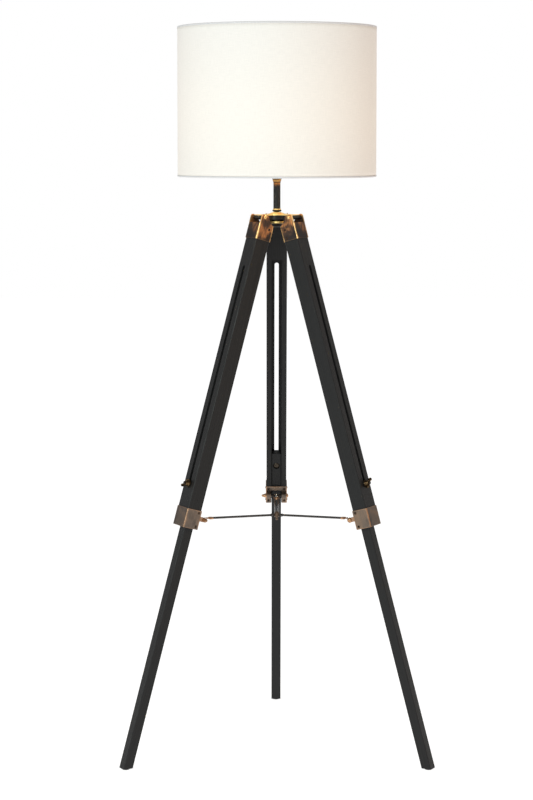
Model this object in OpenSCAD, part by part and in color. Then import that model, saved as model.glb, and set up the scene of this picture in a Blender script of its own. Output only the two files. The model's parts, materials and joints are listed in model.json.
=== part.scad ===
// Tripod floor lamp: drum shade on a short stem, three folding wooden legs with sliding
// lower sections, and a hinged three-arm brace. Millimetres, +Z up, the origin on the
// floor under the stem.
//
// Every leg piece is drawn in its own leg frame: x points outward from the leg's face,
// y runs round the lamp, and -z runs down the leg from its hinge bolt.

/* [Legs] */
// Height of the hinge bolts above the floor
pivot_z = 1085; // [1080:1:1090]
// Distance of the hinge bolts from the lamp's axis
pivot_r = 39; // [38:0.5:41]
// Angle between an open leg and the vertical
splay = 16.3; // [15:0.1:17]
// Width of the upper leg
leg_w = 42; // [40:1:44]
// Depth of the upper leg behind its hinge line
leg_back = 22.5; // [22:0.5:24]
// Depth of the upper leg in front of its hinge line
leg_front = 8.5; // [8:0.5:9]
// Distance from the hinge bolt to the upper leg's lower end
leg_end = 637; // [620:1:650]
// Width and depth of the lower leg
slider_w = 20; // [18:1:20]
// Distance from the hinge bolt to the lower leg's top end
slider_top = 524; // [500:1:530]
// Width of the slot that the clamp bolt runs in
slot_w = 8.6; // [8:0.2:9]

/* [Fittings] */
// Thickness of the folded sheet metal
sheet = 1.5; // [1:0.25:2]
// Radius of the hinge bolts
pivot_bolt_r = 3; // [2.5:0.25:3.5]
// Radius of the clamp bolts
clamp_bolt_r = 3; // [2.5:0.25:3.25]
// Radius of the bolts that hold the brace
brace_bolt_r = 2.5; // [2:0.25:2.75]
// Height of the glides under the feet
glide_h = 2.5; // [2:0.5:4]

/* [Brace] */
// Height of the joints on the brace's hub
hub_z = 477; // [476:0.5:478]
// Radius of the brace's wires
wire_r = 1.7; // [1.2:0.1:1.7]
// Distance from the brace's end to its bolt, which the chain spans
chain_span = 22; // [22:0.5:23]

/* [Head] */
// Thickness of the head casting
head_h = 10; // [9:0.5:10]
// Height of the stem tube
stem_h = 52.7; // [50:0.1:56]
// Outer radius of the stem tube
stem_r = 7.15; // [7:0.05:8]

/* [Shade] */
// Outer diameter of the shade
shade_d = 400; // [380:5:420]
// Height of the shade
shade_h = 300; // [280:5:320]
// Height of the shade's lower edge above the floor
shade_z = 1166; // [1164:1:1170]
// Radius of the bulb's glass
bulb_r = 30; // [28:1:32]

/* [Hidden] */
SIDES = ["left", "right", "rear"];
LEG_PARTS = ["upper_leg", "leg_cap", "leg_screws", "pivot_bolt", "leg_bracket", "brace_bolt",
             "brace_chain", "lower_leg", "clamp_bolt", "wing_nut", "foot_glide", "brace_arm",
             "brace_ferrule"];
HEAD_PARTS = ["head_casting", "head_flange", "head_lower_disc", "head_lock_nut", "cable_gland",
              "threaded_tube", "stem_tube", "stem_collar_lower", "stem_collar_upper",
              "lamp_holder_base", "lamp_holder_core", "lamp_holder_shell", "shade_clamp_ring",
              "shade_spider", "shade_drum", "shade_top_ring", "bulb_cap", "bulb_glass",
              "brace_hub"];
$fn = 64;

azimuth = [210, 330, 90];
gap = 0.3;          // clearance between pieces that slide on each other
running = 0.05;     // radial clearance of a pin that turns in its hole
eps = 1;            // overshoot of a cutting tool

black_wood = [0.10, 0.10, 0.10];
bronze = [0.36, 0.27, 0.20];
copper = [0.62, 0.38, 0.22];
gunmetal = [0.20, 0.19, 0.18];
nickel = [0.78, 0.78, 0.76];

// Upper leg
leg_x0 = -leg_back;
leg_x1 = leg_front;
leg_y = leg_w / 2;
leg_top = 13;
edge = 1;
channel_y = slider_w / 2 + 0.5;
channel_top = 88;
wrap_corner = 0.6;
slot_r = slot_w / 2;
slot_top = 105.3;
clamp_u = slider_top + 28;

// Cap on the top of a leg
cap_end = 45.5;
flange_y = 12;
ear_top = -4.8;
ear_x0 = -8.5;
ear_x1 = leg_x1 + 1;
ear_corner = 4.6;
cap_screw_x = -14.5;
cap_screw_u = [22, 39.5];
bolt_head_r = 4.4;
bolt_head_h = 3;
back_drop = 4;      // height of the gap over the cap's back sheet

// Bracket on the lower end of a leg
bracket_top = leg_end - 38;
strap_h = 9;
bracket_screw_x = -17;
bracket_screw_u = [bracket_top + 5, leg_end - 5.5];
flange_screw_y = 16.7;
brace_u = bracket_top + 16;
brace_x = -34;
knuckle_y = [11.5, 21.5];
knuckle_r = 4.5;
brace_head_r = 5.2;
brace_head_h = 4;
driver_slot = [8, 2.2, 1.2];
acorn_r = 4.4;
acorn_h = 3;
acorn_tip_r = 2.6;

// Screws
screw_r = 1.4;
screw_l = 11;
flange_screw_l = 5;
screw_head_r = 2.7;
screw_head_h = 1.3;
cross_w = 0.7;
cross_l = 3.4;
cross_z = 0.6;      // height of the bottom of the cross in a screw's head
cross_turn = 20;

// Clamp of the lower leg: bolt head in a recess, washer and wing nut
head_x = -slider_w - gap + 2.6;
clamp_head_r = 6.8;
clamp_head_h = 2.5;
recess_r = 7;
clamp_l = 12;       // length of the bolt's end beyond the leg's face
washer_r = 8;
washer_t = 1.5;
nut_x = leg_x1 + gap + washer_t + 0.1;
nut_r = [6.2, 5];
nut_h = 7.5;
nut_turn = 35;
wing_t = 2.4;
wing_r = 4.4;
wing_at = [6.5, 9.6];

// Glide and its nail
glide_r = 7.5;
glide_bevel = 0.9;
nail_r = 1.4;
nail_l = 12;

// Brace: its arms hang between the hub and the bolts on the legs
brace_bolt_at = [pivot_r + brace_u * sin(splay) + brace_x * cos(splay),
                 pivot_z - brace_u * cos(splay) + brace_x * sin(splay)];
hub_joint_r = 12;
arm_rise = brace_bolt_at[1] - hub_z;
arm_run = brace_bolt_at[0] - hub_joint_r;
arm_tilt = atan2(arm_rise, arm_run);
arm_l = norm([arm_run, arm_rise]) - chain_span;
wire_y = 3.2;
wire_bend = 2;
ferrule_l = 7;
ferrule_wall = 0.5;
tab_r = 2.4;
tab_t = 1.6;
link_r = 0.7;
link_l = 6.5;
link_y = 1.9;
link_hole_r = link_r + 0.3;
link_pitch = link_l - 2 * link_r - 0.1;
eye_r = 4.6;
eye_t = 1.2;
eye_nose = 6.6;
nose_r = 2.1;
nose_t = 0.9;
tab_at = chain_span - eye_nose - link_pitch - link_l;
wire_in = 1;        // depth of the ferrule's closed end
hub_r = 5.2;
hub_h = 5;
hub_bevel = 1;
hub_eye_r = 3.1;
hub_eye_t = 1.2;
hub_ball_r = 2.6;
hub_ball_z = hub_z - 9;
hub_neck_r = 1.6;

// Head and stem, from the bottom up
plate_r = 30;
head_top = pivot_z + head_h / 2;
head_bottom = pivot_z - head_h / 2;
lug_y = leg_y - gap;
tube_r = 5;
tube_bore_r = 3.7;
tube_fit = 0.1;
gland_r = 3.6;
gland_lip_r = 10.4;
gland_lip_h = 2;
disc_h = 14;
disc_bottom = head_bottom - disc_h;
disc_r = 19.4;
nut_cavity_r = 9.4;
nut_cavity_h = 8;
lock_nut_h = 5;
flange_r = 17.5;
flange_h = 5.6;
flange_rim = 1.2;
flange_ball = 30;
collar_z = head_top + flange_h;
collar_h = 5.7;
collar_bead = 1.9;
stem_z = collar_z + collar_h;
stem_top = stem_z + stem_h;
upper_collar_h = 6.5;

// Lamp holder, from the bottom up
holder_z = stem_top + upper_collar_h;
holder_r = 19.5;
holder_wall = 2;
cup_rim = holder_r - 0.5;
cup_h = 23;
core_r = holder_r - holder_wall - 0.8;
core_z = holder_z + 14;
shell_z = holder_z + cup_h;
shell_h = 33;
shoulder_z = shell_z + 11;
shoulder_r = 24;
shoulder_t = 1.5;
fitter_h = 2;
clamp_ring_h = 6;
socket_r = 13.6;
bulb_cap_r = socket_r - 0.4;
bulb_cap_z = shell_z + 4;
bulb_cap_h = 27;
neck_z = bulb_cap_z + bulb_cap_h;
bulb_z = holder_z + 110;
glass_t = 0.8;

// Shade
shade_r = shade_d / 2;
shade_skin = 0.8;
ring_r = 1.6;
ring_at = shade_r - shade_skin - ring_r - 0.05;
ring_inset = ring_r + 0.3;
strut_r = 1.5;
fitter_r0 = holder_r + 0.8;
fitter_r1 = 27;

// Places its children in one leg's frame
module leg_frame(i) {
  rotate([0, 0, azimuth[i]])
    translate([pivot_r, 0, pivot_z])
      rotate([0, -splay, 0]) children();
}

// Places its children on one arm of the brace, with x along the arm from the hub
module arm_frame(i) {
  rotate([0, 0, azimuth[i]])
    translate([hub_joint_r, 0, hub_z])
      rotate([0, -arm_tilt, 0]) children();
}

// A block of a leg: x from x0 to x1, y from y0 to y1, and u0 to u1 down the leg
module block(x0, x1, y0, y1, u0, u1) {
  translate([x0, y0, -u1]) cube([x1 - x0, y1 - y0, u1 - u0]);
}

// Two blocks, one on each side of the leg's centre plane
module blocks(x0, x1, y0, y1, u0, u1) {
  block(x0, x1, y0, y1, u0, u1);
  block(x0, x1, -y1, -y0, u0, u1);
}

// A straight round bar along x, y or z from a to b
module rod_x(r, a, b) {
  translate([a, 0, 0]) rotate([0, 90, 0]) cylinder(r = r, h = b - a);
}
module rod_y(r, a, b) {
  translate([0, a, 0]) rotate([-90, 0, 0]) cylinder(r = r, h = b - a);
}
module rod_z(r, a, b) {
  translate([0, 0, a]) cylinder(r = r, h = b - a);
}

// A ring about z
module ring(r0, r1, z0, z1) {
  difference() {
    rod_z(r1, z0, z1);
    rod_z(r0, z0 - eps, z1 + eps);
  }
}

// Rectangle with round corners
module round_rect(x0, x1, y0, y1, r) {
  translate([x0 + r, y0]) square([x1 - x0 - 2 * r, y1 - y0]);
  translate([x0, y0 + r]) square([x1 - x0, y1 - y0 - 2 * r]);
  for (x = [x0 + r, x1 - r], y = [y0 + r, y1 - r])
    translate([x, y]) circle(r = r);
}

// Rectangle with bevelled corners
module bevel_rect(x0, x1, y0, y1, c) {
  polygon([[x0 + c, y0], [x1 - c, y0], [x1, y0 + c], [x1, y1 - c],
           [x1 - c, y1], [x0 + c, y1], [x0, y1 - c], [x0, y0 + c]]);
}

// Domed cap on z = 0
module dome(r, h) {
  ball = (r * r + h * h) / (2 * h);
  rotate_extrude() intersection() {
    translate([0, h - ball]) circle(r = ball);
    square([r, h]);
  }
}

// Cross-head screw of length l with its head standing on z = 0
module screw(l) {
  difference() {
    dome(screw_head_r, screw_head_h);
    for (a = [0, 90]) rotate([0, 0, a + cross_turn])
      translate([-cross_l / 2, -cross_w / 2, cross_z]) cube([cross_l, cross_w, screw_head_h]);
  }
  rod_z(screw_r, -l, 0);
}

// Runs its children at every screw in a leg's sides, with +z out of the surface
module at_side_screws() {
  places = concat([for (u = cap_screw_u) [cap_screw_x, u]],
                  [for (u = bracket_screw_u) [bracket_screw_x, u]]);
  for (s = [-1, 1], place = places)
    translate([place[0], s * (leg_y + sheet), -place[1]]) rotate([-s * 90, 0, 0]) children();
}

// The same for the screws in the bracket's flanges
module at_flange_screws() {
  for (s = [-1, 1], u = bracket_screw_u)
    translate([leg_x0 - sheet, s * flange_screw_y, -u]) rotate([0, -90, 0]) children();
}

module screw_holes() {
  at_side_screws() rod_z(screw_r + running, -screw_l - gap, eps);
  at_flange_screws() rod_z(screw_r + running, -flange_screw_l - gap, eps);
}

// Slotted upper leg, with the channel that holds the lower leg on its inner face
module upper_leg(i) {
  color(black_wood) leg_frame(i) difference() {
    translate([0, 0, -leg_end])
      linear_extrude(height = leg_end - leg_top) bevel_rect(leg_x0, leg_x1, -leg_y, leg_y, edge);
    block(leg_x0 - eps, 0, -channel_y, channel_y, channel_top, leg_end + eps);
    block(-eps, leg_x1 + eps, -slot_r, slot_r, slot_top, clamp_u);
    for (u = [slot_top, clamp_u])
      translate([0, 0, -u]) rod_x(slot_r, -eps, leg_x1 + eps);
    screw_holes();
  }
}

// Outline of a sheet that wraps the leg
module wrap_outline() {
  difference() {
    round_rect(leg_x0 - sheet, leg_x1 + sheet, -leg_y - sheet, leg_y + sheet, sheet + wrap_corner);
    round_rect(leg_x0, leg_x1, -leg_y, leg_y, wrap_corner);
  }
}

// One ear of the cap: x across the ear, y up from the hinge bolt
module ear_outline() {
  translate([ear_x0 + ear_corner, -leg_top - eps])
    square([ear_x1 - ear_x0 - 2 * ear_corner, leg_top + eps - ear_top]);
  translate([ear_x0, -leg_top - eps]) square([ear_x1 - ear_x0, leg_top + eps - ear_top - ear_corner]);
  for (x = [ear_x0 + ear_corner, ear_x1 - ear_corner])
    translate([x, -ear_top - ear_corner]) circle(r = ear_corner);
  polygon([[ear_x0, -1], [ear_x0, -leg_top - eps], [leg_x0 + 2, -leg_top - eps], [leg_x0 + 2, -leg_top]]);
}

// Sheet cap on the top of a leg, with two ears for the hinge bolt
module leg_cap(i) {
  color(copper) leg_frame(i) difference() {
    union() {
      translate([0, 0, -cap_end]) linear_extrude(height = cap_end - leg_top) wrap_outline();
      for (y = [leg_y + sheet, -leg_y])
        translate([0, y, 0]) rotate([90, 0, 0]) linear_extrude(height = sheet) ear_outline();
    }
    block(leg_x0 - sheet - eps, leg_x0, -flange_y, flange_y, 0, cap_end + eps);
    block(leg_x0 - sheet - eps, leg_x0, -leg_w, leg_w, 0, leg_top + back_drop);
    rod_y(pivot_bolt_r + running, -leg_w, leg_w);
    screw_holes();
  }
}

// Every screw on one leg
module leg_screws(i) {
  color(bronze) leg_frame(i) {
    at_side_screws() screw(screw_l);
    at_flange_screws() screw(flange_screw_l);
  }
}

// Hinge bolt and its cap nut
module pivot_bolt(i) {
  head_y = leg_y + sheet;
  color(copper) leg_frame(i) {
    rod_y(pivot_bolt_r, -head_y, head_y - 0.1);
    translate([0, -head_y, 0]) rotate([90, 0, 0]) dome(bolt_head_r, bolt_head_h);
    translate([0, head_y, 0]) rotate([-90, 0, 0]) dome(bolt_head_r, bolt_head_h);
  }
}

// Sheet bracket on the lower end of a leg, with a strap over the channel and two knuckles
module leg_bracket(i) {
  strap_top = bracket_top + strap_h;
  color(bronze) leg_frame(i) difference() {
    union() {
      translate([0, 0, -leg_end]) linear_extrude(height = leg_end - bracket_top) wrap_outline();
      blocks(brace_x, leg_x0 - sheet / 2, knuckle_y[0], knuckle_y[1],
             brace_u - knuckle_r, brace_u + knuckle_r);
      for (y = [knuckle_y[0], -knuckle_y[1]])
        translate([brace_x, 0, -brace_u]) rod_y(knuckle_r, y, y + knuckle_y[1] - knuckle_y[0]);
    }
    block(brace_x - knuckle_r - eps, leg_x0, -knuckle_y[0], knuckle_y[0], strap_top, leg_end + eps);
    translate([brace_x, 0, -brace_u]) rod_y(brace_bolt_r + running, -leg_w, leg_w);
    screw_holes();
  }
}

// Bolt across the knuckles, with a round head and an acorn nut
module brace_bolt(i) {
  y0 = knuckle_y[1];
  color(copper) leg_frame(i) translate([brace_x, 0, -brace_u]) {
    rod_y(brace_bolt_r, -y0, y0);
    difference() {
      translate([0, -y0, 0]) rotate([90, 0, 0]) dome(brace_head_r, brace_head_h);
      translate([-driver_slot[0] / 2, -y0 - brace_head_h - eps, -driver_slot[2] / 2]) cube(driver_slot);
    }
    rod_y(acorn_r, y0, y0 + acorn_h);
    translate([0, y0 + acorn_h, 0]) rotate([-90, 0, 0]) rotate_extrude() {
      polygon([[0, 0], [acorn_r - 0.4, 0], [acorn_tip_r, acorn_r], [0, acorn_r]]);
      intersection() {
        translate([0, acorn_r]) circle(r = acorn_tip_r);
        square(2 * acorn_r);
      }
    }
  }
}

// One oval chain link from x = a to a + link_l, lying in the xy plane
module link(a) {
  for (s = [-1, 1]) {
    translate([a + link_y, s * link_y, 0]) rod_x(link_r, 0, link_l - 2 * link_y);
    translate([a + (s < 0 ? link_y : link_l - link_y), 0, 0])
      rotate([0, 0, s < 0 ? 90 : -90])
        rotate_extrude(angle = 180) translate([link_y, 0]) circle(r = link_r);
  }
}

// Eye on the brace bolt and the chain that reaches back to the arm, with x towards the hub
module brace_chain(i) {
  color(nickel) arm_frame(i) translate([arm_l + chain_span, 0, 0]) rotate([0, 0, 180]) {
    difference() {
      union() {
        rod_y(eye_r, -eye_t, eye_t);
        translate([0, -nose_t, -nose_r]) cube([eye_nose, 2 * nose_t, 2 * nose_r]);
        translate([eye_nose, 0, 0]) rod_y(nose_r, -nose_t, nose_t);
      }
      rod_y(brace_bolt_r + running, -eye_t - eps, eye_t + eps);
      translate([eye_nose, 0, 0]) rod_y(link_hole_r, -eye_t - eps, eye_t + eps);
    }
    link(eye_nose);
    rotate([90, 0, 0]) link(eye_nose + link_pitch);
  }
}

// Square lower leg, cut level at the foot
module lower_leg(i) {
  color(black_wood) difference() {
    leg_frame(i) difference() {
      translate([0, 0, -pivot_z / cos(splay) - slider_w])
        linear_extrude(height = pivot_z / cos(splay) + slider_w - slider_top)
          bevel_rect(-slider_w - gap, -gap, -slider_w / 2, slider_w / 2, edge);
      translate([0, 0, -clamp_u]) rod_x(clamp_bolt_r + running, -slider_w - eps, eps);
      translate([0, 0, -clamp_u]) rod_x(recess_r, -slider_w - eps, head_x);
    }
    translate([-pivot_z, -pivot_z, glide_h - pivot_r]) cube([2 * pivot_z, 2 * pivot_z, pivot_r]);
    foot_centre(i) rod_z(nail_r + 0.1, -eps, glide_h + nail_l + 0.2);
  }
}

// Centre of a foot, on the floor
module foot_centre(i) {
  x = -slider_w / 2 - gap;
  u = (pivot_z - glide_h + x * sin(splay)) / cos(splay);
  rotate([0, 0, azimuth[i]]) translate([pivot_r + u * sin(splay) + x * cos(splay), 0, 0]) children();
}

// Nail-on glide under a foot
module foot_glide(i) {
  color([0.08, 0.08, 0.08]) foot_centre(i) {
    rotate_extrude()
      polygon([[0, 0], [glide_r - glide_bevel, 0], [glide_r, glide_bevel], [glide_r, glide_h],
               [0, glide_h]]);
    rod_z(nail_r, glide_h - eps / 2, glide_h + nail_l);
  }
}

// Clamp bolt through the lower leg and the slot, with its washer
module clamp_bolt(i) {
  color(gunmetal) leg_frame(i) translate([0, 0, -clamp_u]) {
    rod_x(clamp_bolt_r, head_x - eps / 2, leg_x1 + clamp_l);
    translate([head_x, 0, 0]) rotate([0, -90, 0]) dome(clamp_head_r, clamp_head_h);
    difference() {
      rod_x(washer_r, leg_x1 + gap, leg_x1 + gap + washer_t);
      rod_x(clamp_bolt_r + running, leg_x1, leg_x1 + gap + washer_t + eps);
    }
  }
}

// Wing nut on the clamp bolt
module wing_nut(i) {
  color(gunmetal) leg_frame(i) translate([nut_x, 0, -clamp_u]) rotate([nut_turn, 0, 0])
    difference() {
      union() {
        rotate([0, 90, 0]) cylinder(r1 = nut_r[0], r2 = nut_r[1], h = nut_h);
        for (s = [-1, 1]) linear_extrude(height = wing_t, center = true) {
          translate([wing_at[0], s * wing_at[1]]) circle(r = wing_r);
          polygon([[0.8, s * 3], [wing_at[0], s * 3], [9, s * 6], [2.6, s * 11]]);
        }
      }
      rod_x(clamp_bolt_r + running, -eps, leg_w);
    }
}

// Double wire of the brace, bent round the eye of the hub
module brace_arm(i) {
  color(gunmetal) arm_frame(i) {
    rod_y(wire_r, wire_bend - wire_y, wire_y - wire_bend);
    for (s = [-1, 1]) {
      translate([wire_bend, s * wire_y, 0]) rod_x(wire_r, 0, arm_l - wire_in - wire_bend);
      translate([wire_bend, s * (wire_y - wire_bend), 0]) rotate([0, 0, s > 0 ? 90 : 180])
        rotate_extrude(angle = 90) translate([wire_bend, 0]) circle(r = wire_r);
    }
  }
}

// Flat sleeve that closes the wires and takes the chain
module brace_ferrule(i) {
  half_w = wire_y + wire_r + ferrule_wall;
  half_t = wire_r + ferrule_wall;
  color(copper) arm_frame(i) difference() {
    union() {
      translate([arm_l - ferrule_l, 0, 0]) rotate([90, 0, 90])
        linear_extrude(height = ferrule_l) round_rect(-half_w, half_w, -half_t, half_t, half_t - 0.05);
      translate([arm_l - wire_in / 2, -tab_r, -tab_t / 2]) cube([tab_at + wire_in / 2, 2 * tab_r, tab_t]);
      translate([arm_l + tab_at, 0, 0]) rod_z(tab_r, -tab_t / 2, tab_t / 2);
    }
    for (s = [-1, 1])
      translate([0, s * wire_y, 0]) rod_x(wire_r, arm_l - ferrule_l - eps, arm_l - wire_in);
    translate([arm_l + tab_at, 0, 0]) rod_z(link_hole_r, -tab_t, tab_t);
  }
}

// Hub of the brace, with one eye for each arm
module brace_hub() {
  color(bronze) difference() {
    union() {
      rotate_extrude() {
        polygon([[0, hub_z - hub_h], [hub_r - hub_bevel, hub_z - hub_h],
                 [hub_r, hub_z - hub_h + 1.5 * hub_bevel], [hub_r, hub_z + hub_h - 1.5 * hub_bevel],
                 [hub_r - hub_bevel, hub_z + hub_h], [0, hub_z + hub_h]]);
        translate([0, hub_ball_z]) square([hub_neck_r, hub_z - hub_ball_z]);
      }
      translate([0, 0, hub_ball_z]) sphere(r = hub_ball_r);
      translate([0, 0, hub_z + hub_h]) dome(3.6, 2);
      for (i = [0:2]) rotate([0, 0, azimuth[i]]) {
        translate([3, -hub_eye_t, hub_z - 2.2]) cube([hub_joint_r - 3, 2 * hub_eye_t, 4.4]);
        translate([hub_joint_r, 0, hub_z]) rod_y(hub_eye_r, -hub_eye_t, hub_eye_t);
      }
    }
    for (i = [0:2]) rotate([0, 0, azimuth[i]])
      translate([hub_joint_r, 0, hub_z]) rod_y(wire_r + running, -hub_eye_t - eps, hub_eye_t + eps);
  }
}

// Three-lugged head casting
module head_casting() {
  color(bronze) difference() {
    union() {
      rod_z(plate_r, head_bottom, head_top);
      for (i = [0:2]) rotate([0, 0, azimuth[i]]) {
        translate([0, -lug_y, head_bottom]) cube([pivot_r, 2 * lug_y, head_h]);
        translate([pivot_r, 0, pivot_z]) rod_y(head_h / 2, -lug_y, lug_y);
      }
    }
    for (i = [0:2]) rotate([0, 0, azimuth[i]])
      translate([pivot_r, 0, pivot_z]) rod_y(pivot_bolt_r + running, -leg_w, leg_w);
    rod_z(tube_r + tube_fit, head_bottom - eps, head_top + eps);
  }
}

// Turned parts are outlines with their bore at x = bore
module turned(bore) {
  rotate_extrude() difference() {
    children();
    translate([-eps, 0]) square([bore + eps, 2 * pivot_z]);
  }
}

// Domed flange on top of the head
module head_flange() {
  color(bronze) turned(tube_r + tube_fit) translate([0, head_top]) {
    square([flange_r, flange_rim]);
    intersection() {
      translate([0, flange_h - flange_ball]) circle(r = flange_ball);
      square([flange_r, flange_h]);
    }
  }
}

// Hollow disc under the head, over the nut
module head_lower_disc() {
  color(copper) turned(tube_r + tube_fit) difference() {
    polygon([[0, disc_bottom], [11.5, disc_bottom], [15.8, head_bottom - 9.6],
             [disc_r, head_bottom - 7], [disc_r, head_bottom - 3.4], [disc_r - 1.2, head_bottom - 2.2],
             [disc_r - 3, head_bottom - 1.6], [disc_r - 3, head_bottom], [0, head_bottom]]);
    translate([0, disc_bottom - eps]) square([nut_cavity_r, nut_cavity_h + eps]);
  }
}

// Hexagon nut that clamps the head on the stem's tube
module head_lock_nut() {
  color(gunmetal) difference() {
    translate([0, 0, disc_bottom + nut_cavity_h - lock_nut_h])
      cylinder(r = nut_cavity_r - gap, h = lock_nut_h, $fn = 6);
    rod_z(tube_r + tube_fit, disc_bottom, head_bottom);
  }
}

// Bush that the mains lead comes out of
module cable_gland() {
  color([0.06, 0.06, 0.06]) difference() {
    union() {
      rod_z(nut_cavity_r - tube_fit, disc_bottom, disc_bottom + gland_lip_h);
      translate([0, 0, disc_bottom - gland_lip_h])
        cylinder(r1 = gland_lip_r - gland_lip_h, r2 = gland_lip_r, h = gland_lip_h);
    }
    rod_z(gland_r, disc_bottom - gland_lip_h - eps, disc_bottom + gland_lip_h + eps);
  }
}

// Threaded tube that runs from the gland to the lamp holder
module threaded_tube() {
  color(gunmetal) ring(tube_bore_r, tube_r, disc_bottom + gland_lip_h + 0.5, holder_z + 6);
}

module stem_tube() {
  color(gunmetal) ring(tube_r + 0.6, stem_r, stem_z, stem_top);
}

// Rolled collar under the stem
module stem_collar_lower() {
  bead_at = stem_r + 0.05;
  color(copper) turned(tube_r + tube_fit) translate([0, collar_z]) {
    square([bead_at, 2 * collar_bead]);
    translate([bead_at, collar_bead]) circle(r = collar_bead);
    translate([0, 2 * collar_bead]) square([bead_at + 0.9, collar_h - 2 * collar_bead]);
  }
}

// Flared collar on top of the stem
module stem_collar_upper() {
  color(copper) turned(tube_r + tube_fit) translate([0, stem_top])
    polygon([[0, 0], [7.5, 0], [7.5, 1.5], [7.9, 2], [8.7, 4.4], [8.7, upper_collar_h],
             [0, upper_collar_h]]);
}

// Cup that closes the lamp holder from below
module lamp_holder_base() {
  bore = cup_rim - holder_wall;
  color(gunmetal) turned(tube_r + tube_fit) translate([0, holder_z]) difference() {
    polygon([[0, 0], [9, 0], [cup_rim, 12], [cup_rim, cup_h], [0, cup_h]]);
    polygon([[0, 4], [8, 4], [bore, 13], [bore, cup_h + eps], [0, cup_h + eps]]);
  }
}

// Insulator that carries the contacts
module lamp_holder_core() {
  color([0.9, 0.88, 0.82]) rotate_extrude()
    polygon([[0, core_z], [core_r, core_z], [core_r, shell_z], [9, shell_z],
             [9, shell_z + 2], [3, shell_z + 2], [3, shell_z + 3.4], [0, shell_z + 3.4]]);
}

// Threaded sleeve of the lamp holder, with the shoulder that the shade's frame rests on
module lamp_holder_shell() {
  color(gunmetal) turned(socket_r + 0.4) {
    translate([0, shell_z]) square([holder_r, shell_h]);
    translate([0, shoulder_z - shoulder_t]) square([shoulder_r, shoulder_t]);
  }
}

// Ring that clamps the shade's frame on the lamp holder
module shade_clamp_ring() {
  z = shoulder_z + fitter_h;
  color(gunmetal) ring(holder_r + 0.1, fitter_r1, z, z + clamp_ring_h);
}

// Wire ring inside one edge of the shade
module wire_ring(z) {
  rotate_extrude() translate([ring_at, z]) circle(r = ring_r);
}

// Frame in the shade's lower edge: wire ring, three struts and the fitter ring
module shade_spider() {
  z0 = shoulder_z + fitter_h - strut_r - 0.2;
  z1 = shade_z + ring_inset;
  r0 = fitter_r1 - 1;
  color("white") {
    wire_ring(z1);
    ring(fitter_r0, fitter_r1, shoulder_z, shoulder_z + fitter_h);
    for (i = [0:2]) rotate([0, 0, azimuth[i]]) translate([r0, 0, z0])
      rotate([0, atan2(z0 - z1, ring_at - r0), 0]) rod_x(strut_r, 0, norm([ring_at - r0, z0 - z1]));
  }
}

module shade_top_ring() {
  color("white") wire_ring(shade_z + shade_h - ring_inset);
}

// Fabric drum, open at both ends
module shade_drum() {
  color("ivory") ring(shade_r - shade_skin, shade_r, shade_z, shade_z + shade_h);
}

module bulb_cap() {
  color(nickel) rod_z(bulb_cap_r, bulb_cap_z, neck_z);
}

// Outline of the bulb's glass, drawn in by d
module bulb_outline(d) {
  neck_r = bulb_cap_r - d;
  intersection() {
    translate([0, bulb_z]) circle(r = bulb_r - d);
    translate([0, neck_z]) square([bulb_r, bulb_z + bulb_r - neck_z]);
  }
  polygon([[0, neck_z], [neck_r, neck_z], [neck_r + 0.4, neck_z + 8], [neck_r + 2.4, neck_z + 18],
           [(bulb_r - d) * cos(40), bulb_z - (bulb_r - d) * sin(40)], [0, bulb_z]]);
}

module bulb_glass() {
  color([1, 0.97, 0.9]) rotate_extrude() difference() {
    bulb_outline(0);
    bulb_outline(glass_t);
  }
}

head_casting();
head_flange();
head_lower_disc();
head_lock_nut();
cable_gland();
threaded_tube();
stem_tube();
stem_collar_lower();
stem_collar_upper();
lamp_holder_base();
lamp_holder_core();
lamp_holder_shell();
shade_clamp_ring();
shade_spider();
shade_drum();
shade_top_ring();
bulb_cap();
bulb_glass();
brace_hub();
for (i = [0:2]) {
  upper_leg(i);
  leg_cap(i);
  leg_screws(i);
  pivot_bolt(i);
  leg_bracket(i);
  brace_bolt(i);
  brace_chain(i);
  lower_leg(i);
  clamp_bolt(i);
  wing_nut(i);
  foot_glide(i);
  brace_arm(i);
  brace_ferrule(i);
}
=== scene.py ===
"""Tripod floor lamp: the looks of every piece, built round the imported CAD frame. Metres, +Z up."""
import json
import math

import bpy
from mathutils import Matrix, Vector


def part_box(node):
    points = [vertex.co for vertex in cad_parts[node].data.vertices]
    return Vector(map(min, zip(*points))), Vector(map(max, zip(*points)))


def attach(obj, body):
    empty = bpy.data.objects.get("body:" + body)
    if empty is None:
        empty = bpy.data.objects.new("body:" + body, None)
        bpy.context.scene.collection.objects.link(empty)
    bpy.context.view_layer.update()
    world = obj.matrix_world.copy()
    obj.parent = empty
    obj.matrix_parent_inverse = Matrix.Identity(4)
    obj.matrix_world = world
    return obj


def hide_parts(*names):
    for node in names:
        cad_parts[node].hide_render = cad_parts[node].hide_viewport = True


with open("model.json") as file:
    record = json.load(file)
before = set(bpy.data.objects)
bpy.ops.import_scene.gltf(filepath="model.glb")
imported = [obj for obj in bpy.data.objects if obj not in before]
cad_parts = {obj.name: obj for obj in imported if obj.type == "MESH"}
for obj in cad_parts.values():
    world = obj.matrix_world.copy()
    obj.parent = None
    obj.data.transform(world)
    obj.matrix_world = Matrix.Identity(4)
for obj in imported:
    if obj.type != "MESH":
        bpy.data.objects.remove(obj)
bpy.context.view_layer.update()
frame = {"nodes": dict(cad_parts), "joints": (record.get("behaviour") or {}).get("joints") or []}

SIDES = ("left", "right", "rear")
MM = 0.001
TURN = 2 * math.pi


# ---------------------------------------------------------------- camera, floor and light

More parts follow.
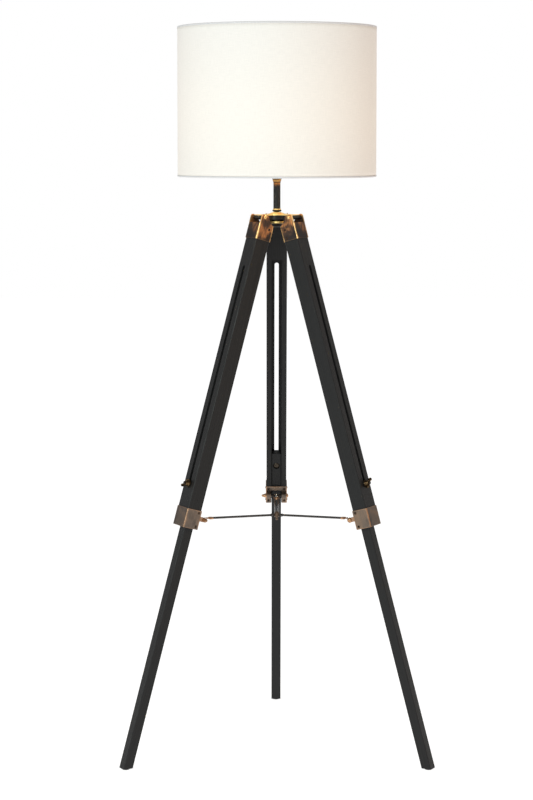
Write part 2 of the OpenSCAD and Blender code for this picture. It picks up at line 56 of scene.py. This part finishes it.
def make_camera():
    """Stands a little left of the lamp at the shade's height, and looks slightly down.

    Its place, lens and shift were fitted to the shade's rims, the legs and the feet in the photo.
    """
    data = bpy.data.cameras.new("camera")
    data.sensor_width = 36
    data.lens = 93.1
    data.shift_y = -0.13
    camera = bpy.data.objects.new("camera", data)
    camera.location = (-0.021, -4.179, 1.2394)
    camera.rotation_euler = (math.radians(90 - 4.31), 0, 0)
    bpy.context.scene.collection.objects.link(camera)
    bpy.context.scene.camera = camera


def area_light(name, place, target, size, power, colour):
    """A round soft light that faces a target."""
    data = bpy.data.lights.new(name, "AREA")
    data.shape = "DISK"
    data.size = size
    data.energy = power
    data.color = colour
    light = bpy.data.objects.new(name, data)
    light.location = place
    light.rotation_euler = (Vector(target) - Vector(place)).to_track_quat("-Z", "Y").to_euler()
    bpy.context.scene.collection.objects.link(light)


def bulb_ball():
    """Centre height and radius of the bulb's ball."""
    low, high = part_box("bulb_glass")
    radius = (high.x - low.x) / 2
    return high.z - radius, radius


def make_bulb_light():
    """The lit bulb: a soft warm light just larger than its glass."""
    centre, radius = bulb_ball()
    clear_of_glass = 1.5 * MM
    data = bpy.data.lights.new("bulb_light", "POINT")
    data.shadow_soft_size = radius + clear_of_glass
    data.energy = 17
    data.color = (1.0, 0.74, 0.42)
    light = bpy.data.objects.new("bulb_light", data)
    light.location = (0, 0, centre)
    bpy.context.scene.collection.objects.link(light)


def make_lights():
    """A cool key from the front left, a weak warm fill from the right, and the bulb."""
    middle = (0, 0, 0.9)
    area_light("key", (-1.9, -3.9, 2.2), middle, 1.6, 92, (0.90, 1.0, 0.96))
    area_light("fill", (3.2, -0.9, 1.4), middle, 1.6, 14, (1.0, 0.50, 0.12))
    make_bulb_light()


def make_world():
    """White behind the lamp, and an even, weaker white for the light that falls on it."""
    world = bpy.data.worlds.new("studio")
    world.use_nodes = True
    tree = world.node_tree
    background = tree.nodes["Background"]
    path = tree.nodes.new("ShaderNodeLightPath")
    strength = tree.nodes.new("ShaderNodeMapRange")
    strength.inputs["To Min"].default_value = 0.42
    strength.inputs["To Max"].default_value = 1.0
    tree.links.new(path.outputs["Is Camera Ray"], strength.inputs["Value"])
    tree.links.new(strength.outputs["Result"], background.inputs["Strength"])
    background.inputs["Color"].default_value = (1, 1, 1, 1)
    bpy.context.scene.world = world


def make_floor():
    """A white floor that glows a little, so that it meets the world without an edge."""
    mesh = bpy.data.meshes.new("floor")
    half = 12
    corners = [(-half, -half, 0), (half, -half, 0), (half, half, 0), (-half, half, 0)]
    mesh.from_pydata(corners, [], [(0, 1, 2, 3)])
    floor = bpy.data.objects.new("floor", mesh)
    bpy.context.scene.collection.objects.link(floor)
    g = Graph("floor_paint", roughness=0.9)
    g.shade("Base Color", (0.5, 0.5, 0.5, 1))
    g.shade("Emission Color", (1, 1, 1, 1))
    g.shade("Emission Strength", 0.85)
    g.shade("Specular IOR Level", 0.0)
    mesh.materials.append(g.material)


# ---------------------------------------------------------------- node graphs

class Graph:
    """The nodes of one material. Each method adds a node and returns its output socket."""

    def __init__(self, name, **uniform):
        self.material = bpy.data.materials.new(name)
        self.material.use_nodes = True
        self.tree = self.material.node_tree
        self.shader = self.tree.nodes["Principled BSDF"]
        for key, value in uniform.items():
            self.shade(key.replace("_", " ").title(), value)

    def shade(self, name, value):
        """Sets or links an input of the material's shader."""
        self.put(self.shader, name, value)

    def put(self, node, name, value):
        """Links a socket to an input, or sets a plain value on it."""
        if isinstance(value, bpy.types.NodeSocket):
            self.tree.links.new(value, node.inputs[name])
        else:
            node.inputs[name].default_value = value

    def add(self, kind, output, settings=None, **inputs):
        """A node of any kind, with settings of its own and inputs by name."""
        node = self.tree.nodes.new("ShaderNode" + kind)
        for key, value in (settings or {}).items():
            setattr(node, key, value)
        for key, value in inputs.items():
            self.put(node, key.replace("_", " "), value)
        return node.outputs[output]

    def place(self, matrix=None):
        """Object coordinates in metres, seen from a frame such as a leg's own."""
        at = self.add("TexCoord", "Object")
        if matrix is None:
            return at
        return self.add("Mapping", "Vector", {"vector_type": "TEXTURE"}, Vector=at,
                        Location=matrix.translation, Rotation=matrix.to_euler())

    def scaled(self, vector, scale):
        return self.add("Mapping", "Vector", Vector=vector, Scale=scale)

    def split(self, vector):
        node = self.tree.nodes.new("ShaderNodeSeparateXYZ")
        self.put(node, "Vector", vector)
        return tuple(node.outputs)

    def join(self, x, y, z):
        return self.add("CombineXYZ", "Vector", X=x, Y=y, Z=z)

    def math(self, operation, *values):
        node = self.tree.nodes.new("ShaderNodeMath")
        node.operation = operation
        for i, value in enumerate(values):
            self.put(node, i, value)
        return node.outputs["Value"]

    def length(self, a, b):
        squares = [self.math("MULTIPLY", side, side) for side in (a, b)]
        return self.math("SQRT", self.math("ADD", *squares))

    def noise(self, vector, scale=1.0, detail=4.0, roughness=0.5, distortion=0.0):
        return self.add("TexNoise", "Fac", Vector=vector, Scale=scale, Detail=detail,
                        Roughness=roughness, Distortion=distortion)

    def span(self, value, low, high, to_low=0.0, to_high=1.0):
        """value from low to high, smoothly brought to the range to_low to to_high."""
        return self.add("MapRange", "Result", {"interpolation_type": "SMOOTHSTEP"}, Value=value,
                        From_Min=low, From_Max=high, To_Min=to_low, To_Max=to_high)

    def ramp(self, value, *stops):
        """A colour ramp through stops of (position, colour)."""
        node = self.tree.nodes.new("ShaderNodeValToRGB")
        self.put(node, "Fac", value)
        elements = node.color_ramp.elements
        while len(elements) < len(stops):
            elements.new(0.5)
        for element, (position, colour) in zip(elements, stops):
            element.position = position
            element.color = (*colour, 1)
        return node.outputs["Color"]

    def mix(self, factor, a, b):
        """A colour between a and b. The Mix node's colour sockets are found by their places."""
        node = self.tree.nodes.new("ShaderNodeMix")
        node.data_type = "RGBA"
        factor_in, a_in, b_in, colour_out = 0, 6, 7, 2
        self.put(node, factor_in, factor)
        for place, value in ((a_in, a), (b_in, b)):
            self.put(node, place, value if isinstance(value, bpy.types.NodeSocket) else (*value, 1))
        return node.outputs[colour_out]

    def bump(self, height, distance, strength):
        return self.add("Bump", "Normal", Height=height, Distance=distance, Strength=strength)

    def edge_distances(self, at, low, high):
        """Distances along the surface of an upright box to its nearest corner line and end edge."""
        gaps = []
        for value, a, b in zip(self.split(at), low, high):
            off = self.math("ABSOLUTE", self.math("SUBTRACT", value, (a + b) / 2))
            gaps.append(self.math("SUBTRACT", (b - a) / 2, off))
        least = self.math("MINIMUM", gaps[0], gaps[1])
        return self.math("MAXIMUM", gaps[0], gaps[1]), self.math("MAXIMUM", least, gaps[2])


# ---------------------------------------------------------------- frames of the legs

def joint(name):
    """A joint of the frame, by its name."""
    return next(j for j in frame["joints"] if j["name"] == name)


def leg_matrix(side):
    """A leg's own frame at its hinge bolt: x out of its outer face, y across it, z up along it."""
    fold = joint(f"leg_{side}_fold")
    across = Vector(fold["axis"])
    up = Vector(joint(f"lower_leg_{side}_slide")["axis"]).normalized()
    out = across.cross(up)
    matrix = Matrix((out, across, up)).transposed().to_4x4()
    matrix.translation = Vector(fold["pos_m"])
    return matrix


def span_in(node, matrix):
    """Lowest and highest corner of a CAD node, seen from a leg's frame."""
    back = matrix.inverted()
    points = [back @ v.co for v in frame["nodes"][node].data.vertices]
    low = Vector(min(p[i] for p in points) for i in range(3))
    high = Vector(max(p[i] for p in points) for i in range(3))
    return low, high


LEG = {side: leg_matrix(side) for side in SIDES}


# ---------------------------------------------------------------- materials

# Noise scales are per metre. A stretched grain has a small scale along it and a large one across.

def black_wood(name, matrix):
    """Black stained hardwood with a drawn-out grain and open pores."""
    ring_gap = 3.4 * MM
    pith_x, pith_y = 60 * MM, 35 * MM
    pore_black = (0.003, 0.003, 0.003)
    g = Graph(name)
    at = g.place(matrix)
    x, y, _ = g.split(at)
    wander = g.noise(g.scaled(at, (24, 24, 2.2)), detail=2)
    radius = g.length(g.math("ADD", x, pith_x), g.math("ADD", y, pith_y))
    rings = g.math("SINE", g.math("ADD", g.math("MULTIPLY", radius, TURN / ring_gap),
                                  g.math("MULTIPLY", wander, 44)))
    growth = g.span(rings, -1, 1)
    fibre = g.noise(g.scaled(at, (1300, 1300, 22)), detail=5, roughness=0.6)
    pores = g.span(g.noise(g.scaled(at, (2300, 2300, 60)), detail=2), 0.62, 0.72)
    tone = g.math("ADD", g.math("MULTIPLY", growth, 0.15), g.math("MULTIPLY", fibre, 0.85))
    stain = g.ramp(tone, (0.15, (0.004, 0.004, 0.0043)), (0.5, (0.008, 0.008, 0.0083)),
                   (0.85, (0.017, 0.0166, 0.0163)))
    g.shade("Base Color", g.mix(g.math("MULTIPLY", pores, 0.6), stain, pore_black))
    g.shade("Specular IOR Level", 0.28)
    g.shade("Roughness", g.span(fibre, 0.25, 0.75, 0.40, 0.60))
    grain = g.math("ADD", g.math("MULTIPLY", fibre, 0.8), g.math("MULTIPLY", growth, 0.04))
    relief = g.math("SUBTRACT", grain, pores)
    g.shade("Normal", g.bump(relief, 0.12 * MM, 0.8))
    return g.material


def patina(name, matrix, low, high, tones, worn_and_highlight_tone, end_wear_and_highlight, fade):
    """Antique bronze plating on bent sheet: blotchy patina, brightened along the corners by wear and
    by a painted highlight of the lamp's light.

    Tones are the plating's colours from dark to light, then comes the colour of the worn and lit
    corners, then how strongly the end edges take that colour, and fade darkens the lowest part of the
    sheet.
    """
    faded_height = 24 * MM
    g = Graph(name, metallic=1.0)
    at = g.place(matrix)
    clouds = g.noise(at, 32, detail=5, roughness=0.5, distortion=0.5)
    brushed = g.noise(g.scaled(at, (900, 900, 70)), detail=3)
    speck = g.noise(at, 900, detail=3)
    tone = g.math("ADD", g.math("MULTIPLY", clouds, 0.75), g.math("MULTIPLY", brushed, 0.25))
    tone = g.math("ADD", tone, g.span(g.split(at)[2], low.z, low.z + faded_height, -fade, 0.2 * fade))
    colour = g.ramp(tone, *zip((0.40, 0.50, 0.62), tones))
    ragged = g.math("MULTIPLY", g.math("SUBTRACT", clouds, 0.5), -5 * MM)
    corner, end = [g.math("ADD", gap, ragged) for gap in g.edge_distances(at, low, high)]
    # Painted highlight as well as wear: the bright corners and ends stand partly for the lamp's light
    # catching the sheet's edges.
    corner_wear_and_highlight = g.span(corner, 1.2 * MM, 3.2 * MM, 1.0, 0.0)
    end_wear_and_highlight_mask = g.span(end, 0.3 * MM, 1.6 * MM, end_wear_and_highlight, 0.0)
    wear_and_highlight_mask = g.math("MAXIMUM", corner_wear_and_highlight, end_wear_and_highlight_mask)
    colour = g.mix(wear_and_highlight_mask, colour, worn_and_highlight_tone)
    spots = g.math("MULTIPLY", g.span(speck, 0.60, 0.72), 0.5)
    g.shade("Base Color", g.mix(spots, colour, tuple(0.5 * c for c in tones[0])))
    dullness = g.math("SUBTRACT", clouds, g.math("MULTIPLY", wear_and_highlight_mask, 0.2))
    g.shade("Roughness", g.span(dullness, 0.2, 0.8, 0.28, 0.60))
    height = g.math("ADD", g.math("MULTIPLY", brushed, 0.6), g.math("MULTIPLY", speck, 0.4))
    g.shade("Normal", g.bump(height, 0.05 * MM, 0.6))
    return g.material


def banded(name, stops, mottle=(0.02, 0.015, 0.013), roughness=0.38, scale=150, radial=False,
           metallic=0.6):
    """Turned or cast bronze that changes tone with height, or with distance from the axis."""
    g = Graph(name, metallic=metallic)
    at = g.place()
    x, y, z = g.split(at)
    clouds = g.noise(at, scale, detail=5, roughness=0.6)
    if radial:
        where = g.length(x, y)
    else:
        where = z
    where = g.math("ADD", where, g.math("MULTIPLY", g.math("SUBTRACT", clouds, 0.5), 0.8 * MM))
    first, last = stops[0][0], stops[-1][0]
    level = g.math("DIVIDE", g.math("SUBTRACT", where, first), last - first)
    colour = g.ramp(level, *(((place - first) / (last - first), tone) for place, tone in stops))
    g.shade("Base Color", g.mix(g.span(clouds, 0.5, 0.68, 0.0, 0.6), colour, mottle))
    g.shade("Roughness", g.span(clouds, 0.3, 0.7, roughness - 0.08, roughness + 0.1))
    g.shade("Normal", g.bump(g.noise(at, 9 * scale, detail=3), 0.03 * MM, 0.6))
    return g.material


def metal(name, dark, light, roughness, scale):
    """A turned or cast metal with a mottled tone and fine marks."""
    g = Graph(name, metallic=1.0)
    at = g.place()
    clouds = g.noise(at, scale, detail=5, roughness=0.6)
    fine = g.noise(at, 9 * scale, detail=3)
    g.shade("Base Color", g.ramp(clouds, (0.36, dark), (0.66, light)))
    g.shade("Roughness", g.span(clouds, 0.3, 0.7, roughness - 0.08, roughness + 0.1))
    g.shade("Normal", g.bump(fine, 0.03 * MM, 0.6))
    return g.material


def painted(name, colour, roughness):
    """Paint, powder coat or moulded plastic with a slight orange peel."""
    g = Graph(name)
    at = g.place()
    peel = g.noise(at, 700, detail=2)
    clouds = g.noise(at, 40, detail=3)
    darker, lighter = (tuple(min(1, part * c) for c in colour) for part in (0.8, 1.2))
    g.shade("Base Color", g.mix(clouds, darker, lighter))
    g.shade("Roughness", g.span(clouds, 0.3, 0.7, roughness - 0.06, roughness + 0.06))
    g.shade("Normal", g.bump(peel, 0.03 * MM, 0.5))
    return g.material


def stem_black():
    """Black lacquer on the stem, with a painted copper-orange reflection of the lamp's warm light just
    below the upper collar.
    """
    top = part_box("stem_tube")[1].z
    g = Graph("stem_black")
    at = g.place()
    z = g.split(at)[2]
    clouds = g.noise(at, 140, detail=5, roughness=0.65)
    ragged = g.math("MULTIPLY", clouds, 16 * MM)
    down = g.math("ADD", g.math("SUBTRACT", top, z), ragged)
    # Painted reflection: this copper band stands for the lamp's warm light shining on the top of the
    # stem.
    copper = g.span(down, 7 * MM, 17 * MM, 1.0, 0.0)
    black = g.ramp(clouds, (0.35, (0.004, 0.004, 0.005)), (0.7, (0.013, 0.011, 0.010)))
    g.shade("Base Color", g.mix(copper, black, (0.42, 0.17, 0.05)))
    g.shade("Metallic", copper)
    g.shade("Specular IOR Level", 0.3)
    g.shade("Roughness", g.span(clouds, 0.3, 0.7, 0.36, 0.5))
    g.shade("Normal", g.bump(g.noise(g.scaled(at, (1500, 1500, 90)), detail=3), 0.03 * MM, 0.5))
    return g.material


def glossy_wire():
    """Dark lacquered steel wire with drawing marks along it."""
    g = Graph("brace_wire")
    at = g.place()
    clouds = g.noise(at, 120, detail=4)
    g.shade("Base Color", g.ramp(clouds, (0.35, (0.012, 0.010, 0.009)), (0.7, (0.045, 0.036, 0.030))))
    g.shade("Specular IOR Level", 0.8)
    g.shade("Roughness", g.span(clouds, 0.3, 0.7, 0.08, 0.14))
    g.shade("Normal", g.bump(g.noise(at, 300, detail=2), 0.01 * MM, 0.1))
    return g.material


def bulb_glow(g, z, power):
    """The bulb's light on the shade's wall: 1 level with the bulb, less above and below."""
    centre = bulb_ball()[0]
    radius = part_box("shade_drum")[1].x
    rise = g.math("DIVIDE", g.math("SUBTRACT", z, centre), radius)
    return g.math("POWER", g.math("ADD", g.math("MULTIPLY", rise, rise), 1.0), -power)


def cloth(name, tint, glow):
    """Plain-woven cotton on the drum, lit through by the bulb. Its threads run round and up."""
    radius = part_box("shade_drum")[1].x
    weave = 0.62 * MM
    g = Graph(name, roughness=0.85)
    at = g.place()
    x, y, z = g.split(at)
    round_it = g.math("MULTIPLY", g.math("ARCTAN2", y, x), radius)
    flat = g.join(round_it, z, 0.0)
    slub_across = g.noise(g.scaled(flat, (60, 900, 1)), detail=3)
    slub_up = g.noise(g.scaled(flat, (900, 60, 1)), detail=3)
    waves = []
    for across, slub in ((round_it, slub_up), (z, slub_across)):
        phase = g.math("ADD", g.math("MULTIPLY", across, TURN / weave), g.math("MULTIPLY", slub, 3))
        waves.append(g.math("SINE", phase))
    threads = g.math("MULTIPLY", *waves)
    slubs = g.math("ADD", slub_across, slub_up)
    clouds = g.noise(at, 9, detail=3)
    depth = g.math("ADD", g.math("MULTIPLY", slubs, 0.5), g.math("MULTIPLY", threads, 0.05))
    shade = g.span(depth, 0.35, 0.65)
    g.shade("Base Color", g.mix(shade, tuple(0.95 * c for c in tint), tint))
    uneven = g.span(g.math("ADD", shade, clouds), 0.2, 1.8, 0.95, 1.05)
    lit = g.math("MULTIPLY", bulb_glow(g, z, 0.6), uneven)
    g.shade("Emission Color", (1.0, 0.72, 0.40, 1))
    g.shade("Emission Strength", g.math("MULTIPLY", lit, glow))
    g.shade("Sheen Weight", 0.15)
    height = g.math("ADD", g.math("MULTIPLY", threads, 0.5), slubs)
    g.shade("Normal", g.bump(height, 0.07 * MM, 0.7))
    return g.material


def dress(material, *nodes):
    """Gives CAD nodes a material."""
    for name in nodes:
        mesh = frame["nodes"][name].data
        mesh.materials.clear()
        mesh.materials.append(material)


def each(part):
    """The three nodes of a part that stands once on each leg."""
    return [f"{part}_{side}" for side in SIDES]


def dress_cad_nodes():
    """Gives every CAD node its material. The three legs are alike, each seen in its own frame."""
    cap_low, cap_high = span_in("leg_cap_left", LEG["left"])
    bracket_low, bracket_high = span_in("leg_bracket_left", LEG["left"])
    bracket_low.x = cap_low.x  # the bracket's sheet ends where the cap's does, short of its knuckles
    for side in SIDES:
        leg = LEG[side]
        dress(black_wood(f"black_wood_{side}", leg), f"upper_leg_{side}", f"lower_leg_{side}")
        dress(patina(f"cap_bronze_{side}", leg, cap_low, cap_high,
                     tones=((0.046, 0.038, 0.036), (0.095, 0.060, 0.045), (0.54, 0.24, 0.095)),
                     worn_and_highlight_tone=(0.90, 0.58, 0.25), end_wear_and_highlight=0.08, fade=0.13), f"leg_cap_{side}")
        dress(patina(f"bracket_bronze_{side}", leg, bracket_low, bracket_high,
                     tones=((0.105, 0.084, 0.070), (0.165, 0.130, 0.105), (0.25, 0.175, 0.125)),
                     worn_and_highlight_tone=(0.36, 0.225, 0.145), end_wear_and_highlight=0.7, fade=0.0), f"leg_bracket_{side}")
        dress(brace_bolt_copper(side), f"brace_bolt_{side}")
    dress_head()
    metals = (  # name, dark and light tone, roughness, noise scale, nodes
        ("bolt_gold", (0.50, 0.28, 0.10), (0.88, 0.60, 0.26), 0.26, 220, each("pivot_bolt")),
        ("aged_copper", (0.20, 0.11, 0.065), (0.60, 0.34, 0.19), 0.32, 220, each("brace_ferrule")),
        ("screw_bronze", (0.02, 0.014, 0.011), (0.10, 0.065, 0.045), 0.38, 400, each("leg_screws")),
        ("nickel_plate", (0.62, 0.62, 0.60), (0.88, 0.88, 0.85), 0.16, 300,
         [*each("brace_chain"), "bulb_cap"]),
        ("gunmetal", (0.030, 0.026, 0.022), (0.11, 0.085, 0.062), 0.34, 250,
         [*each("clamp_bolt"), "head_lock_nut", "threaded_tube"]),
        # Wing nuts: dark bronze in random clouds whose light tone also stands for painted gold glints.
        ("wing_bronze", (0.025, 0.018, 0.013), (0.30, 0.19, 0.09), 0.30, 330, each("wing_nut")),
    )
    for name, dark, light, roughness, scale, nodes in metals:
        dress(metal(name, dark, light, roughness, scale), *nodes)
    boss_bronze, disc_dark = (0.11, 0.07, 0.045), (0.030, 0.026, 0.024)
    dress(banded("hub_bronze", ((0.0, boss_bronze), (5.6 * MM, boss_bronze), (6.2 * MM, disc_dark),
                                (16 * MM, disc_dark)), scale=220, radial=True), "brace_hub")
    dress(glossy_wire(), *each("brace_arm"))
    dress(stem_black(), "stem_tube")
    dress(painted("black_enamel", (0.022, 0.022, 0.022), 0.38),
          "lamp_holder_base", "lamp_holder_shell", "shade_clamp_ring")
    dress(painted("porcelain", (0.80, 0.78, 0.72), 0.35), "lamp_holder_core")
    dress(painted("white_powder_coat", (0.82, 0.82, 0.80), 0.45), "shade_spider", "shade_top_ring")
    dress(painted("black_plastic", (0.020, 0.020, 0.020), 0.55), "cable_gland", *each("foot_glide"))
    dress(bulb_glass(), "bulb_glass")


def dress_head():
    """The head's castings: dark bronze, with gold bands of painted lamplight on their tops and edges,
    and painted shade nearly black on their undersides.
    """
    dark, brown = (0.010, 0.008, 0.007), (0.10, 0.055, 0.026)
    amber, lamp_lit_gold, rust = (0.42, 0.22, 0.06), (1.0, 0.72, 0.27), (0.80, 0.20, 0.03)

    def bands(node, *stops, **looks):
        """Stops are (millimetres below the node's top, tone), from the bottom up."""
        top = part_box(node)[1].z
        places = tuple((top - drop * MM, tone) for drop, tone in stops)
        dress(banded(node + "_bronze", places, **looks), node)

    # Painted light and shade: the gold bands stand for the bulb's light on tops and upper edges; dark
    # is the bronze's own tone and also painted shade on undersides.
    bands("head_casting", (10, dark), (1.5, dark), (0.7, lamp_lit_gold), (0, lamp_lit_gold))
    bands("head_flange", (5.6, lamp_lit_gold), (0, lamp_lit_gold), mottle=rust, roughness=0.40, scale=90, metallic=0.3)
    bands("head_lower_disc", (14, dark), (7.8, dark), (7, lamp_lit_gold), (3.6, lamp_lit_gold), (2.8, dark), (0, dark),
          metallic=1.0)
    bands("stem_collar_lower", (5.7, dark), (2.4, dark), (1.8, lamp_lit_gold), (0, lamp_lit_gold))
    bands("stem_collar_upper", (6.5, dark), (5.3, dark), (4.5, amber), (1, amber), (0, brown))


def brace_bolt_copper(side):
    """Copper head and nut, and a dark shank between them, along the leg frame's y."""
    shank_half = 11 * MM
    g = Graph(f"brace_bolt_{side}", metallic=1.0)
    at = g.place(LEG[side])
    across = g.math("ABSOLUTE", g.split(at)[1])
    clouds = g.noise(at, 220, detail=5)
    copper = g.ramp(clouds, (0.36, (0.22, 0.12, 0.07)), (0.66, (0.66, 0.38, 0.20)))
    shank = g.span(across, shank_half, shank_half + 1 * MM, 1.0, 0.0)
    g.shade("Base Color", g.mix(shank, copper, (0.03, 0.024, 0.02)))
    g.shade("Roughness", g.span(clouds, 0.3, 0.7, 0.22, 0.4))
    g.shade("Normal", g.bump(g.noise(at, 1800, detail=3), 0.03 * MM, 0.6))
    return g.material


def bulb_glass():
    """Opal glass, lit from inside."""
    g = Graph("bulb_opal", roughness=0.25)
    at = g.place()
    clouds = g.noise(at, 30, detail=2)
    g.shade("Base Color", g.mix(clouds, (0.95, 0.88, 0.74), (1.0, 0.95, 0.85)))
    g.shade("Emission Color", (1.0, 0.80, 0.52, 1))
    g.shade("Emission Strength", 4.0)
    return g.material


# ---------------------------------------------------------------- mesh helpers

def new_piece(name, points, faces, material, slot, body, smooth=True):
    """A mesh that rides on a body and takes one material. The slot argument is not used."""
    mesh = bpy.data.meshes.new(name)
    mesh.from_pydata(points, [], faces)
    mesh.update()
    if smooth:
        mesh.polygons.foreach_set("use_smooth", [True] * len(mesh.polygons))
    mesh.materials.append(material)
    piece = bpy.data.objects.new(name, mesh)
    bpy.context.scene.collection.objects.link(piece)
    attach(piece, body)
    return piece


def revolve(profile, start=0.0, end=TURN, steps=240):
    """Points and faces of a closed outline (r, z) turned about z, with end caps on a part turn."""
    whole = abs(end - start - TURN) < 1e-6
    columns = steps if whole else steps + 1
    points = []
    for k in range(columns):
        a = start + (end - start) * k / steps
        points += [(r * math.cos(a), r * math.sin(a), z) for r, z in profile]
    n = len(profile)
    faces = []
    for k in range(steps):
        a, b = k * n, (k + 1) % columns * n
        faces += [(a + i, b + i, b + (i + 1) % n, a + (i + 1) % n) for i in range(n)]
    if not whole:
        faces += [tuple(range(n - 1, -1, -1)), tuple(steps * n + i for i in range(n))]
    return points, faces


def thicken(path, thickness):
    """Closed outline of a strip that follows a path of (r, z)."""
    left, right = [], []
    for i, (r, z) in enumerate(path):
        r0, z0 = path[max(i - 1, 0)]
        r1, z1 = path[min(i + 1, len(path) - 1)]
        size = math.hypot(r1 - r0, z1 - z0)
        nr, nz = (z1 - z0) / size, -(r1 - r0) / size
        left.append((r + nr * thickness / 2, z + nz * thickness / 2))
        right.append((r - nr * thickness / 2, z - nz * thickness / 2))
    return left + right[::-1]


def arc(centre, radii, start, end, steps):
    """Points on an ellipse from one angle to another, in degrees, both ends in."""
    for k in range(steps + 1):
        a = math.radians(start + (end - start) * k / steps)
        yield centre[0] + radii[0] * math.cos(a), centre[1] + radii[1] * math.sin(a)


# ---------------------------------------------------------------- the shade

CLOTH_T = 0.4 * MM


def make_shade():
    """The drum's cloth and its liner, a tape hem round each edge, and a lap seam at the back."""
    low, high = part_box("shade_drum")
    radius, bottom, top = high.x, low.z, high.z
    linen = cloth("shade_cotton", (0.70, 0.70, 0.70), 0.20)
    tape = cloth("shade_tape", (0.66, 0.65, 0.66), 0.0)
    outer = drum_wall(radius - CLOTH_T / 2, bottom, top)
    fabric = new_piece("shade_fabric", *revolve(outer), linen, "shade_fabric", "stand")
    inner = drum_wall(radius - 1.5 * CLOTH_T, bottom, top)
    liner = new_piece("shade_liner", *revolve(inner), liner_film(), "shade_fabric", "stand")
    for name, edge, way in (("shade_hem_top", top, -1), ("shade_hem_bottom", bottom, 1)):
        outline = hem_outline(radius, edge, way)
        new_piece(name, *revolve(outline), tape, "shade_fabric", "stand")
    seam = new_piece("shade_seam", *lap_seam(radius, bottom, top), linen, "shade_fabric", "stand",
                     smooth=False)
    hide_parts("shade_drum")


def drum_wall(middle, bottom, top, rows=30):
    """Outline of an upright wall of cloth, whose middle is at one radius."""
    return thicken([(middle, bottom + (top - bottom) * k / rows) for k in range(rows + 1)], CLOTH_T)


def lap_seam(radius, bottom, top):
    """Points and faces of the strip where the cloth laps over itself, at the back of the drum."""
    back = math.pi / 2
    half_turn = 6 * MM / radius
    sunk, proud, short = 0.2 * MM, 0.3 * MM, 1 * MM
    strip = [(radius - sunk, bottom + short), (radius + proud, bottom + short),
             (radius + proud, top - short), (radius - sunk, top - short)]
    return revolve(strip, back - half_turn, back + half_turn, 6)


def hem_outline(radius, edge, way):
    """Tape folded over the drum's edge and round its wire ring; way is -1 at the top edge."""
    ring_low, ring_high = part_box("shade_top_ring")
    wire = (ring_high.z - ring_low.z) / 2
    wire_at = ring_high.x - wire
    wire_z = edge + way * (wire + 0.3 * MM)
    round_wire = wire + 0.35 * MM
    out = radius + 0.25 * MM
    inside = wire_at - round_wire
    fold = ((out + inside) / 2, edge + way * 1.1 * MM)
    flap = radius - 1.1 * MM
    path = [(out, edge + way * 3.2 * MM), (out, edge + way * 1.6 * MM)]
    path += arc(fold, ((out - inside) / 2, -way * 1.3 * MM), 0, 180, 12)
    path += arc((wire_at, wire_z), (round_wire, -way * round_wire), 195, 255, 6)
    path += [(flap, edge + way * 6 * MM), (flap, edge + way * 12 * MM)]
    return thicken(path, CLOTH_T)


def liner_film():
    """White translucent film behind the cloth, warm where the bulb lights it."""
    g = Graph("liner_film", roughness=0.45)
    at = g.place()
    lit = bulb_glow(g, g.split(at)[2], 1.2)
    g.shade("Base Color", g.mix(g.noise(at, 25, detail=3), (0.84, 0.82, 0.78), (0.90, 0.88, 0.84)))
    g.shade("Emission Color", (1.0, 0.78, 0.52, 1))
    g.shade("Emission Strength", g.math("MULTIPLY", lit, 0.35))
    g.shade("Normal", g.bump(g.noise(at, 260, detail=2), 0.05 * MM, 0.4))
    return g.material


make_camera()
make_world()
make_floor()
make_lights()
dress_cad_nodes()
make_shade()

bpy.context.scene.view_settings.view_transform = "Standard"
